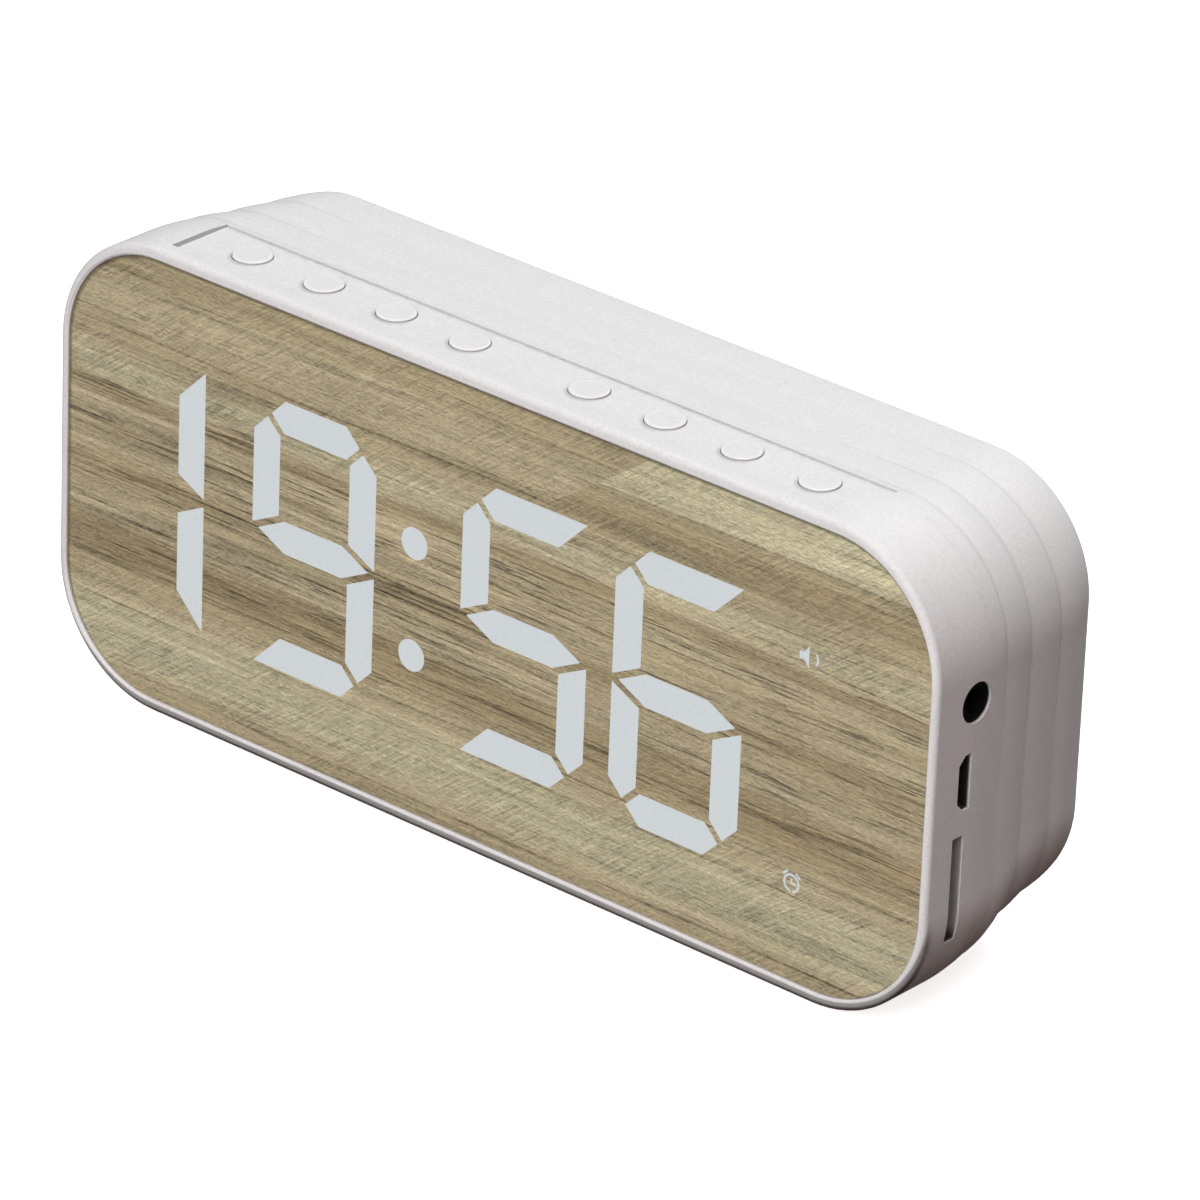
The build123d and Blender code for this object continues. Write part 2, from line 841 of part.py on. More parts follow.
def speaker_screws():
    """Screws through the corners of both speaker flanges, heads toward the front."""
    screws = []
    for side in (-1, 1):
        for place in speaker_screw_places(side):
            head = Pos(*place) * Circle(speaker_head_width / 2)
            shank = Pos(*place) * Circle(speaker_screw_width / 2)
            body = slab(head, flange_front - speaker_head_height, flange_front)
            screws.append(body + slab(shank, flange_front, back_inner + speaker_screw_bite))
    return group(screws)


def battery():
    """Flat rechargeable cell between the speakers."""
    return slab(Rectangle(battery_width, battery_height), battery_front, tape_front)


def battery_tape():
    """Foam tape that holds the cell to the rear wall."""
    tape = Rectangle(battery_width - 2 * tape_margin, battery_height - 2 * tape_margin)
    return slab(tape, tape_front, back_inner)


def wire(points):
    """Insulated wire through points given as X, depth and height."""
    placed = [(x, front_y + depth, panel_z + height) for x, depth, height in points]
    route = FilletPolyline(*placed, radius=lead_bend)
    start = Plane(origin=route @ 0, z_dir=route % 0)
    return sweep(start * Circle(lead_width / 2), path=route)


def battery_lead():
    """Two wires from the middle socket to the lower edge of the cell."""
    low = -battery_height / 2
    entry = (battery_front + tape_front) / 2
    bend = battery_front - battery_lead_run / 2
    return group(
        wire([
            (x, lead_socket_end, lead_socket_row),
            (x, lead_socket_end + battery_lead_run, lead_socket_row),
            (x, bend, low - battery_lead_sag),
            (x, entry, low - battery_lead_sag),
            (x, entry, low),
        ])
        for x in (-lead_pitch / 2, lead_pitch / 2)
    )


def speaker_lead(side):
    """Two wires from an outer socket to the speaker flange."""
    start = lead_socket_pitch
    turn = lead_socket_end + speaker_lead_run
    return group(
        wire([
            (side * start, lead_socket_end, lead_socket_row + step),
            (side * start, turn, lead_socket_row + step),
            (side * speaker_lead_place, turn + speaker_lead_climb, step - speaker_lead_drop),
            (side * speaker_lead_place, flange_front, step - speaker_lead_drop),
        ])
        for step in (-lead_pitch / 2, lead_pitch / 2)
    )


digit_nodes = {name: digit(place, lit) for name, (place, lit) in digits.items()}
icon_nodes = {"colon_dots": colon_dots(), "alarm_icon": alarm_icon(), "sound_icon": sound_icon()}
lit_nodes = {**digit_nodes, **icon_nodes}

nodes = {
    "front_case": front_case(),
    "rear_case": rear_case(),
    "case_screws": case_screws(),
    "rubber_feet": rubber_feet(),
    "wood_film": wood_film(lit_nodes.values()),
    "display_panel": display_panel(),
    "light_box": light_box(),
    "segment_leds": segment_leds(),
    "main_board": main_board(),
    "board_screws": board_screws(),
    "board_chips": board_chips(),
    "lead_sockets": lead_sockets(),
    "tact_switches": tact_switches(),
    "audio_jack": audio_jack(),
    "usb_shell": usb_shell(),
    "usb_tongue": usb_tongue(),
    "card_socket": card_socket(),
    "battery": battery(),
    "battery_tape": battery_tape(),
    "battery_lead": battery_lead(),
    "speaker_gaskets": speaker_gaskets(),
    "grille_cloths": grille_cloths(),
    "speaker_screws": speaker_screws(),
    **lit_nodes,
}
for number, key_place in enumerate(key_places, start=1):
    nodes[f"button_{number}"] = button(key_place)
    nodes[f"switch_plunger_{number}"] = switch_plunger(key_place)
for name, hand in (("left", -1), ("right", 1)):
    nodes[f"{name}_speaker_basket"] = speaker_basket(hand)
    nodes[f"{name}_speaker_magnet"] = speaker_magnet(hand)
    nodes[f"{name}_speaker_cone"] = speaker_cone(hand)
    nodes[f"{name}_speaker_lead"] = speaker_lead(hand)

os.makedirs("parts", exist_ok=True)
for name, node in nodes.items():
    export_step(node, f"parts/{name}.step")
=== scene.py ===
# %% [markdown]
# # A bedside clock with a wood-look front
# The real clock is a white plastic case with a printed film over a lit display.
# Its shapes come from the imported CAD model, in metres, which stands on the table at Z = 0.
# This lesson dresses that model: a finish for every piece, a woven cloth, soft light and a camera.

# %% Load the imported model
from math import cos, pi, sin

import bpy
from mathutils import Matrix, Vector


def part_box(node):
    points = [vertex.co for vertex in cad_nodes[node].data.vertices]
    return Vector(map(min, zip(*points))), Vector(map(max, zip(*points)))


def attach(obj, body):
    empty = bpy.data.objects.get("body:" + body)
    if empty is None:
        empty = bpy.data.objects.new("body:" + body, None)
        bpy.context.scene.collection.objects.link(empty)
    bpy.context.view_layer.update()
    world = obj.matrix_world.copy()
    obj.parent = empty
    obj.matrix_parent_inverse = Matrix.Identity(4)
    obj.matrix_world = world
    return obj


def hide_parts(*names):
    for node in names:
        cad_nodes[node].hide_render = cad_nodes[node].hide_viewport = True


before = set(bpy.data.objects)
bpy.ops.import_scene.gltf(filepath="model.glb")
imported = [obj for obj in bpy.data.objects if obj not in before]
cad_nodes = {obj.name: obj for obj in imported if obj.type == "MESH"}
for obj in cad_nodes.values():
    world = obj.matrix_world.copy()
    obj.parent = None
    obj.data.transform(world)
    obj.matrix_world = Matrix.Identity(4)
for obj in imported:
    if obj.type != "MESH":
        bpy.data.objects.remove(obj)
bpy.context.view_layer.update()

# %% [markdown]
# ## Sizes that several finishes share
# A finish that follows the object needs to know where its features lie.
# The film and the shells are CAD nodes, so their boxes give the panel's middle and the front of the lip.
# The bands of the case end in three creases, whose depths are counted back from the lip.

# %% Measure the case
MM = 0.001
film_low, film_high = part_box("wood_film")
panel_middle = (film_low + film_high) / 2
lip_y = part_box("front_case")[0].y
crease_depths = (14.25, 20.25, 27.55)
crease_places = [lip_y + depth * MM for depth in crease_depths]
print("panel middle", [round(v / MM, 2) for v in panel_middle], "mm")
print("creases at y", [round(y / MM, 2) for y in crease_places], "mm")

# %% [markdown]
# ## A small language for finishes
# A node tree could be wired by hand, socket by socket, but it is easier to read as a formula.
# `Wire` wraps one socket and turns Python's operators into Math nodes, so `1 - mask` means what it says.


# %% Wrap a socket so that formulas add Math nodes
class Wire:
    """One socket of a node tree, with operators that add Math nodes."""

    def __init__(self, nodes, socket):
        self.nodes = nodes
        self.socket = socket

    def maths(self, operation, *others):
        """A Math node whose first value is this wire."""
        return self.nodes.maths(operation, self, *others)

    def __add__(self, other):
        return self.maths("ADD", other)

    def __sub__(self, other):
        return self.maths("SUBTRACT", other)

    def __rsub__(self, other):
        return self.nodes.maths("SUBTRACT", other, self)

    def __mul__(self, other):
        return self.maths("MULTIPLY", other)

    def __truediv__(self, other):
        return self.maths("DIVIDE", other)

    def __abs__(self):
        return self.maths("ABSOLUTE")

    def __gt__(self, other):
        return self.maths("GREATER_THAN", other)

    def __lt__(self, other):
        return self.maths("LESS_THAN", other)

    __radd__ = __add__
    __rmul__ = __mul__

    def at_least(self, low):
        """The larger of this wire and a lowest value."""
        return self.maths("MAXIMUM", low)

    def root(self):
        """Square root."""
        return self.maths("SQRT")

    def between(self, low, high):
        """Smooth step from 0 at low to 1 at high."""
        sockets = {"Value": self, "From Min": low, "From Max": high}
        return self.nodes.node("ShaderNodeMapRange", {"interpolation_type": "SMOOTHSTEP"}, sockets)


# %% [markdown]
# ### One tree of nodes
# `Nodes` holds one node tree, of a material or of Geometry Nodes.
# Its `node` method makes any node from its type, its settings, and the values or links of its sockets.


# %% Hold one node tree and add nodes to it
class Nodes:
    """One node tree under construction."""

    def __init__(self, tree):
        self.tree = tree

    def join(self, value, socket):
        """Link a wire to a socket, or set the socket to a plain value."""
        if isinstance(value, Wire):
            self.tree.links.new(value.socket, socket)
        else:
            socket.default_value = value

    def node(self, kind, settings=None, sockets=None, out=0):
        """Any node: its type, its settings, then the values or links of its sockets."""
        made = self.tree.nodes.new(kind)
        for name, value in (settings or {}).items():
            if name == "stops":
                self.set_stops(made.color_ramp, value)
            else:
                setattr(made, name, value)
        for name, value in (sockets or {}).items():
            self.join(value, made.inputs[name])
        return Wire(self, made.outputs[out])

    def set_stops(self, ramp, stops):
        """Give a colour ramp its stops."""
        while len(ramp.elements) < len(stops):
            ramp.elements.new(1.0)
        for element, (position, colour) in zip(ramp.elements, stops):
            element.position = position
            element.color = (*colour, 1.0)

    def maths(self, operation, *values):
        """A Math node on wires and numbers."""
        return self.node("ShaderNodeMath", {"operation": operation}, dict(enumerate(values)))

    def split(self, vector):
        """The three parts of a vector."""
        parts = self.node("ShaderNodeSeparateXYZ", None, {0: vector})
        return [Wire(self, socket) for socket in parts.socket.node.outputs]


# %% [markdown]
# ### One finish
# `Finish` is the tree of one material, with the textures that the clock needs.
# Every texture reads Object coordinates, so a pattern stays on its piece and has the piece's real size.
# Noise runs from 0 to 1. Where it has to push a tone both ways, its middle is taken away.

# %% Hold one material
NOISE_MIDDLE = 0.5


class Finish(Nodes):
    """One material under construction."""

    def __init__(self, name, sockets):
        self.material = bpy.data.materials.new(name)
        self.material.use_nodes = True
        super().__init__(self.material.node_tree)
        self.shader = self.tree.nodes["Principled BSDF"]
        for label, value in sockets.items():
            self.feed(label, value)
        self.place = self.node("ShaderNodeTexCoord", out="Object")

    def feed(self, label, value):
        """Set or link one input of the shader."""
        self.join(value, self.shader.inputs[label])

    def mix(self, factor, first, second):
        """Mix of two colours."""
        sockets = {0: factor, 6: first, 7: second}
        return self.node("ShaderNodeMix", {"data_type": "RGBA"}, sockets, out=2)

    def noise_at(self, place, detail, roughness):
        """Noise whose blotches are about one unit long at a place."""
        sockets = {"Vector": place, "Scale": 1.0, "Detail": detail, "Roughness": roughness}
        return self.node("ShaderNodeTexNoise", None, sockets)

    def noise(self, spans, detail=2.0, roughness=0.5, shift=(0.0, 0.0, 0.0)):
        """Noise whose blotches are about so many millimetres long on each axis."""
        scale = tuple(1.0 / (span * MM) for span in spans)
        scaled = self.node("ShaderNodeVectorMath", {"operation": "MULTIPLY"}, {0: self.place, 1: scale})
        shifted = self.node("ShaderNodeVectorMath", {"operation": "ADD"}, {0: scaled, 1: shift})
        return self.noise_at(shifted, detail, roughness)

    def swing(self, spans, **choices):
        """The same noise around zero."""
        return self.noise(spans, **choices) - NOISE_MIDDLE

    def bump(self, height, relief):
        """Bump from a height of 0 to 1 and a relief in millimetres."""
        sockets = {"Height": height, "Distance": relief * MM, "Strength": 1.0}
        self.feed("Normal", self.node("ShaderNodeBump", None, sockets))


# %% [markdown]
# ### Colours, outlines and dressing
# Colours are written as screen values and turned into the linear light that shaders use.
# The panel and the case are rounded rectangles, so one formula gives the distance from either outline.
# A CAD node is dressed by giving its mesh one material, and its shape is left alone.


# %% Helpers for colours, outlines and dressing
def tone(red, green, blue):
    """Colour from screen values 0 to 255, as the linear light that shaders use."""
    shares = [value / 255 for value in (red, green, blue)]
    return tuple(v / 12.92 if v <= 0.04045 else ((v + 0.055) / 1.055) ** 2.4 for v in shares)


def ink(red, green, blue):
    """The same colour with an alpha of one."""
    return (*tone(red, green, blue), 1.0)


def even(span):
    """The same span along all three axes."""
    return (span, span, span)


def past_outline(along, rise, half_width, half_height, corner):
    """Distance outside a rounded rectangle, below zero inside it."""
    past_side = (abs(along) - (half_width - corner)).at_least(0.0)
    past_top = (abs(rise) - (half_height - corner)).at_least(0.0)
    return (past_side * past_side + past_top * past_top).root() - corner


def dress(finish, *names):
    """Give CAD nodes a finish."""
    for name in names:
        cad_nodes[name].data.materials.clear()
        cad_nodes[name].data.materials.append(finish.material)
    print(finish.material.name, "on", len(names), "nodes")


# %% [markdown]
# ## White moulded plastic
# The case and its keys are matt white plastic with a fine spark-eroded grain.
# The grain is far too fine to model, so one noise drives colour, roughness and bump together.
# A second, larger noise lets the white drift a little, because no moulding is perfectly even.

# %% White plastic
PLASTIC_GLOSS = 0.35
GRAIN_SPAN, GRAIN_RELIEF = 0.45, 0.06
PLASTIC_SMOOTH, PLASTIC_SWING = 0.42, 0.25
DRIFT_SPAN, DRIFT_STRENGTH = 9.0, 0.3
PIT_WHITE, PEAK_WHITE, DRIFT_WHITE = ink(205, 208, 210), ink(245, 248, 250), ink(229, 229, 228)


def white_plastic(name):
    """A finish with its grain, and its plain colour to shade further."""
    finish = Finish(name, {"Specular IOR Level": PLASTIC_GLOSS})
    grain = finish.noise(even(GRAIN_SPAN), detail=3.0, roughness=0.65)
    drift = finish.noise(even(DRIFT_SPAN))
    grained = finish.mix(grain, PIT_WHITE, PEAK_WHITE)
    finish.feed("Roughness", grain * PLASTIC_SWING + PLASTIC_SMOOTH)
    finish.bump(grain, GRAIN_RELIEF)
    return finish, finish.mix(drift * DRIFT_STRENGTH, grained, DRIFT_WHITE)


# %% [markdown]
# ## Where the keys are
# The eight keys stand in one row, in two groups of four that mirror each other.
# Eight distances would do, but an absolute value folds the two groups together,
# and a modulo folds the four keys of a group onto one.
# So a single distance finds the nearest key, for the shade around it and for the rim of its face.

# %% Measure the keys
KEY_RADIUS = 2.75 * MM
key_names = [name for name in cad_nodes if name.startswith("button_")]
key_boxes = [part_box(name) for name in key_names]
key_middles = [(low + high) / 2 for low, high in key_boxes]
key_y = key_middles[0].y
key_top = key_boxes[0][1].z
first_key, second_key = sorted(middle.x for middle in key_middles if middle.x > 0)[:2]
key_pitch = second_key - first_key
row_start = first_key - key_pitch / 2
print(len(key_names), "keys,", round(key_pitch / MM, 2), "mm apart")


def off_key(across, depth):
    """Distance from the axis of the nearest key."""
    along_row = abs(across).at_least(row_start) - row_start
    sideways = along_row.maths("FLOORED_MODULO", key_pitch) - key_pitch / 2
    backwards = depth - key_y
    return (sideways * sideways + backwards * backwards).root()


# %% [markdown]
# ## The case
# Each band of the case ends in a crease that holds a little shade.
# A crease lies at one depth, so a mask on the Y coordinate finds it on every side of the case.
# The shade shows around the upper corners, where light grazes the bands. A second mask keeps it there.

# %% Shade of the creases
shell, shell_plain = white_plastic("shell_white")
across, depth, height = shell.split(shell.place)
rise_above = height - panel_middle.z
CREASE_CORE, CREASE_EDGE = 0.05 * MM, 0.5 * MM
CREASE_LOW, CREASE_HIGH = -2.0 * MM, 16.0 * MM
CREASE_IN, CREASE_OUT = 36.0 * MM, 64.0 * MM
CREASE_DARK, CREASE_GREY = 0.14, ink(120, 112, 110)
in_crease = sum(1 - abs(depth - place).between(CREASE_CORE, CREASE_EDGE) for place in crease_places)
near_corner = rise_above.between(CREASE_LOW, CREASE_HIGH) * abs(across).between(CREASE_IN, CREASE_OUT)
creased = shell.mix(in_crease * near_corner * CREASE_DARK, shell_plain, CREASE_GREY)
print("shade in", len(crease_places), "creases")

# %% [markdown]
# ### The key pocket
# The keys stand in a shallow pocket, whose low walls look grey because they face away from the light.
# A mask finds the left and the back wall by their place, and three more keep it inside the pocket.
# Each key also throws a soft shade on the pocket's floor: a ring around the key, shifted to the front.

# %% Shade of the key pocket
POCKET_HALF, POCKET_FLOOR = 58.2 * MM, 33.75 * MM
pocket_front, pocket_back = lip_y + 2.4 * MM, lip_y + 13.0 * MM
WALL_CORE, WALL_EDGE = 0.03 * MM, 0.12 * MM
END_DARK, BACK_DARK, WALL_GREY = 0.5, 0.45, ink(92, 90, 90)
end_wall = 1 - abs(across + POCKET_HALF).between(WALL_CORE, WALL_EDGE)
back_wall = 1 - abs(depth - pocket_back).between(WALL_CORE, WALL_EDGE)
in_length = 1 - abs(across).between(POCKET_HALF, POCKET_HALF + WALL_EDGE)
past_front = depth.between(pocket_front - WALL_EDGE, pocket_front)
past_back = depth.between(pocket_back, pocket_back + WALL_EDGE)
above_floor = rise_above.between(POCKET_FLOOR, POCKET_FLOOR + WALL_CORE)
in_pocket = in_length * past_front * (1 - past_back) * above_floor
pocketed = shell.mix((end_wall * END_DARK + back_wall * BACK_DARK) * in_pocket, creased, WALL_GREY)
RING_SHIFT, RING_START, RING_END = 0.45 * MM, -0.2 * MM, 0.6 * MM
RING_DARK, KEY_GREY = 0.35, ink(110, 108, 108)
off_ring = off_key(across, depth + RING_SHIFT).between(KEY_RADIUS + RING_START, KEY_RADIUS + RING_END)
ring_shade = (1 - off_ring) * in_length * (rise_above > 0.0)
ringed = shell.mix(ring_shade * RING_DARK, pocketed, KEY_GREY)
print("key pocket", round(2 * POCKET_HALF / MM, 1), "mm long,", len(key_names), "rings of shade")

# %% [markdown]
# ### Walls of the side holes
# The sockets sit in three holes on the right side, and light hardly reaches the walls of those holes.
# Each hole could have a mask of its own, but all their walls lie inside the case's rounded outline.
# So one step on the distance from that outline darkens them together, most at the foot of the card slot.

# %% Shade inside the side holes
case_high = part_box("front_case")[1]
CASE_CORNER = 17.9 * MM
half_width, half_height = case_high.x, case_high.z - panel_middle.z
outside = past_outline(across, rise_above, half_width, half_height, CASE_CORNER)
HOLE_START, HOLE_END, HOLE_REACH = -0.4 * MM, -0.06 * MM, 12.0 * MM
hole_front, hole_back = lip_y + 3.5 * MM, lip_y + 11.2 * MM
in_side = (across > half_width - HOLE_REACH) * (depth > hole_front) * (depth < hole_back)
in_hole = (1 - outside.between(HOLE_START, HOLE_END)) * in_side
SLOT_LOW, SLOT_FADE = -21.0 * MM, 2.6 * MM
HOLE_DARK, SLOT_DARK, HOLE_BLACK = 0.5, 0.45, ink(30, 28, 28)
slot_foot = 1 - rise_above.between(SLOT_LOW, SLOT_LOW + SLOT_FADE)
holed = shell.mix(in_hole * (slot_foot * SLOT_DARK + HOLE_DARK), ringed, HOLE_BLACK)
print("case outline", round(2 * half_width / MM, 2), "x", round(2 * half_height / MM, 2), "mm")

# %% [markdown]
# ### The underside
# The lower lip turns towards the table and darkens, first softly and then to a thin dark line.
# The studio lights still reach it from the front, so the finish adds the shade.
# The case's outline is lifted a little, so that only the lower edge lies past it.
# Behind the lip most of the shade fades away.

# %% Shade underneath, and dress the case
UNDER_LIFT, UNDER_TURN, UNDER_EDGE, UNDER_END = 1.6 * MM, 0.35 * MM, 0.55 * MM, 1.0 * MM
TURN_DARK, LINE_DARK, UNDER_BROWN = 0.62, 0.33, ink(70, 62, 54)
below = past_outline(across, rise_above - UNDER_LIFT, half_width, half_height, CASE_CORNER)
lip_shade = below.between(0.0, UNDER_TURN) * TURN_DARK + below.between(UNDER_EDGE, UNDER_END) * LINE_DARK
lip_back, lip_gone, LIP_FADE = lip_y + 1.0 * MM, lip_y + 2.4 * MM, 0.85
under_shade = lip_shade * (1 - depth.between(lip_back, lip_gone) * LIP_FADE)
shell.feed("Base Color", shell.mix(under_shade, holed, UNDER_BROWN))
dress(shell, "front_case", "rear_case")

# %% [markdown]
# ## The keys
# A key is a low disc. The rim of its face catches the light, and its edge looks grey against the pocket.
# Both are too small for the light to show at this size, so the finish draws them.
# The rim is a step on the distance from the key's axis, and the grey is a step on the Z coordinate.

# %% Keys
key, key_plain = white_plastic("key_white")
key_across, key_depth, key_height = key.split(key.place)
RIM_START, RIM_END, RIM_LIGHT = 0.6 * MM, 0.2 * MM, 0.26
on_rim = off_key(key_across, key_depth).between(KEY_RADIUS - RIM_START, KEY_RADIUS - RIM_END)
KEY_FACE, KEY_FOOT, KEY_DARK = 0.03 * MM, 0.28 * MM, 0.6
on_edge = 1 - key_height.between(key_top - KEY_FOOT, key_top - KEY_FACE)
rimmed = key.mix(on_rim * RIM_LIGHT, key_plain, ink(255, 255, 255))
key.feed("Base Color", key.mix(on_edge * KEY_DARK, rimmed, KEY_GREY))
dress(key, *key_names)

# %% [markdown]
# ## The wood print
# The film carries a print of sawn oak: pale and brown boards that lie along X,
# long streaks, dark cracks along the seams and patches of slanting saw marks.
# A picture of wood could be laid on, but layers of noise need no file and stay sharp at any distance.
# They are laid on one after the other, as a painter would, in millimetres from the panel's middle.
# The boards come first: five tones placed up the panel, with a little wander so that no edge is ruled.

# %% Wood print: the boards
wood = Finish("wood_print", {"Specular IOR Level": 0.3})
film_across, _, film_height = wood.split(wood.place)
along = film_across / MM
rise = (film_height - panel_middle.z) / MM
wander = wood.swing((34.0, 34.0, 7.0))
PALE, CREAM, BEIGE = (195, 190, 158), (186, 182, 151), (176, 167, 137)
BROWN, DARK = (168, 158, 127), (154, 142, 111)
BOARD_LOW, BOARD_HIGH, BOARD_WANDER = -33.0, 33.0, 2.4
main_boards = [
    (-33.0, DARK), (-31.0, BROWN), (-29.5, BEIGE), (-27.0, CREAM), (-21.5, CREAM), (-19.0, BEIGE),
    (-16.0, BROWN), (-13.0, DARK), (-9.5, DARK), (-7.0, BEIGE), (-2.5, BROWN), (-0.4, DARK),
    (1.5, BROWN), (3.0, BEIGE), (5.5, BROWN), (8.5, BEIGE), (11.2, DARK), (12.3, BEIGE),
    (14.5, CREAM), (17.0, BEIGE), (19.2, BROWN), (20.6, BROWN), (22.0, BEIGE), (27.5, BEIGE),
    (28.8, BROWN), (33.0, BROWN),
]


def up_the_panel(tones):
    """Ramp of tones from the lowest board to the highest."""
    span = BOARD_HIGH - BOARD_LOW
    stops = [((level - BOARD_LOW) / span, tone(*colour)) for level, colour in tones]
    share = (rise + wander * BOARD_WANDER - BOARD_LOW) / span
    return wood.node("ShaderNodeValToRGB", {"stops": stops}, {"Fac": share})


print("wood print:", len(main_boards), "tones up the panel")

# %% [markdown]
# ### The short board
# At the upper right a short, pale board meets a long one at a slanting joint.
# It has tones of its own, and a mask with the joint's slant lays them over the long boards.

# %% Wood print: the short board
short_board = [(20.0, BROWN), (22.2, DARK), (25.8, BROWN), (26.4, CREAM), (28.2, PALE), (33.0, CREAM)]
JOINT_FOOT, JOINT_LEVEL, JOINT_LEAN, JOINT_EDGE = 10.0, 19.75, 1.4, 0.2
SHORT_START, SHORT_FULL = 19.0, 20.2
past_joint = along - (rise - JOINT_LEVEL) * JOINT_LEAN - JOINT_FOOT
on_short = past_joint.between(-JOINT_EDGE, JOINT_EDGE) * rise.between(SHORT_START, SHORT_FULL)
boards = wood.mix(on_short, up_the_panel(main_boards), up_the_panel(short_board))
print("short board:", len(short_board), "tones, joint", JOINT_FOOT, "mm right of the middle")

# %% [markdown]
# ### Streaks and cracks
# Streaks are noise stretched along the boards, in two sizes, that makes the boards lighter and darker.
# The middle boards are rougher: their fine streaks are stronger, and calm down towards the right.
# Cracks are the thin peaks of another stretched noise, in patches, most of them on the rough boards.

# %% Wood print: streaks and cracks
cloudy = wood.swing((45.0, 45.0, 6.0), detail=1.0, shift=(2.0, 0.0, 3.0))
long_streaks = wood.swing((38.0, 38.0, 1.0), detail=4.0, roughness=0.6)
fine_streaks = wood.swing((13.0, 13.0, 0.32), detail=3.0, roughness=0.6, shift=(3.1, 0.0, 7.7))
ROUGH_FROM, ROUGH_TO = (-17.5, -14.0), (11.5, 13.5)
rough_boards = rise.between(*ROUGH_FROM) * (1 - rise.between(*ROUGH_TO))
CALM_LEVEL, CALM_REACH, CALM_SHARE = (-12.0, -8.0), (-5.0, 40.0), 0.38
calm = 1 - rough_boards * rise.between(*CALM_LEVEL) * along.between(*CALM_REACH) * CALM_SHARE
LONG_STRENGTH, LONG_EXTRA, FINE_STRENGTH, FINE_EXTRA = 1.4, 0.2, 0.5, 1.1
streaks = long_streaks * (rough_boards * LONG_EXTRA + LONG_STRENGTH)
streaks = streaks + fine_streaks * (rough_boards * FINE_EXTRA + FINE_STRENGTH)
crack_noise = wood.noise((15.0, 15.0, 0.45), detail=3.0, roughness=0.55, shift=(9.3, 0.0, 1.7))
crack_patches = wood.noise((22.0, 22.0, 3.0), detail=1.0, shift=(1.0, 0.0, 4.0))
CRACK_PEAK, CRACK_PATCH = (0.56, 0.66), (0.38, 0.55)
CRACK_FEW, CRACK_MORE, CRACK_DARK = 0.3, 0.7, 0.45
cracks = crack_noise.between(*CRACK_PEAK) * (rough_boards * CRACK_MORE + CRACK_FEW)
cracks = cracks * crack_patches.between(*CRACK_PATCH)
print("rough boards from", ROUGH_FROM[0], "to", ROUGH_TO[1], "mm above the middle")

# %% [markdown]
# ### Seams
# Where two boards meet, a thin dark seam runs along them.
# The crack noise breaks it up, so that it comes and goes.
# Each seam has a level, a left and a right end, and a darkness, and its ends fade out.

# %% Wood print: seams
LEFT, RIGHT = -75.0, 75.0
seams = [
    (20.4, LEFT, 12.0, 0.45), (11.7, LEFT, -48.0, 0.4), (6.9, LEFT, -40.0, 0.5),
    (-0.3, LEFT, RIGHT, 0.28), (-13.8, LEFT, -36.0, 0.5), (-20.4, LEFT, RIGHT, 0.3),
    (10.0, 40.0, RIGHT, 0.5), (26.2, 20.0, RIGHT, 0.3), (-30.6, -44.0, RIGHT, 0.45),
    (5.6, -38.0, -22.0, 0.5), (-7.6, -72.0, -52.0, 0.4), (28.1, LEFT, -45.0, 0.3),
    (-11.2, 44.0, 60.0, 0.45), (-12.0, 2.0, 14.0, 0.45), (18.6, LEFT, -30.0, 0.3),
    (-17.2, -20.0, RIGHT, 0.5),
]
SEAM_CORE, SEAM_EDGE, SEAM_FADE, SEAM_WANDER, SEAM_BREAKS = 0.06, 0.3, 6.0, 1.2, (0.35, 0.52)


def seam_line(level, left, right, dark):
    """Shade of one seam, before it is broken up."""
    near = 1 - abs(rise + wander * SEAM_WANDER - level).between(SEAM_CORE, SEAM_EDGE)
    start = along.between(left - SEAM_FADE, left + SEAM_FADE)
    stop = 1 - along.between(right - SEAM_FADE, right + SEAM_FADE)
    return near * start * stop * dark


seam_shade = sum(seam_line(*seam) for seam in seams) * crack_noise.between(*SEAM_BREAKS)
CLOUD_SHARE, PRINT_LIFT = 0.5, 1.17
streaked = cloudy * CLOUD_SHARE + (streaks - cracks * CRACK_DARK) * calm - seam_shade + PRINT_LIFT
print(len(seams), "seams")

# %% [markdown]
# ### The shade under the lip
# The film sits behind the lip, which shades its upper and left edges.
# The distance from the film's rounded outline is measured from a slightly shifted place.
# That makes the shade wider on the two shaded sides.

# %% Wood print: shade under the lip
FILM_CORNER = 16.2
SHADE_SHIFT, SHADE_START, SHADE_END = 0.22, -0.42, 0.12
half_size = (film_high - film_low) / (2 * MM)
off_film = past_outline(along - SHADE_SHIFT, rise + SHADE_SHIFT, half_size.x, half_size.z, FILM_CORNER)
film_shade = off_film.between(SHADE_START, SHADE_END)
print("film", round(2 * half_size.x, 2), "x", round(2 * half_size.z, 2), "mm")

# %% [markdown]
# ### Saw marks and grain
# A saw leaves slanting marks, so their noise lies on coordinates turned to the saw's slant.
# They come in patches, and the rough boards have fewer of them.
# The last layer is the grain of the print's own embossing, which also lifts the surface a little.

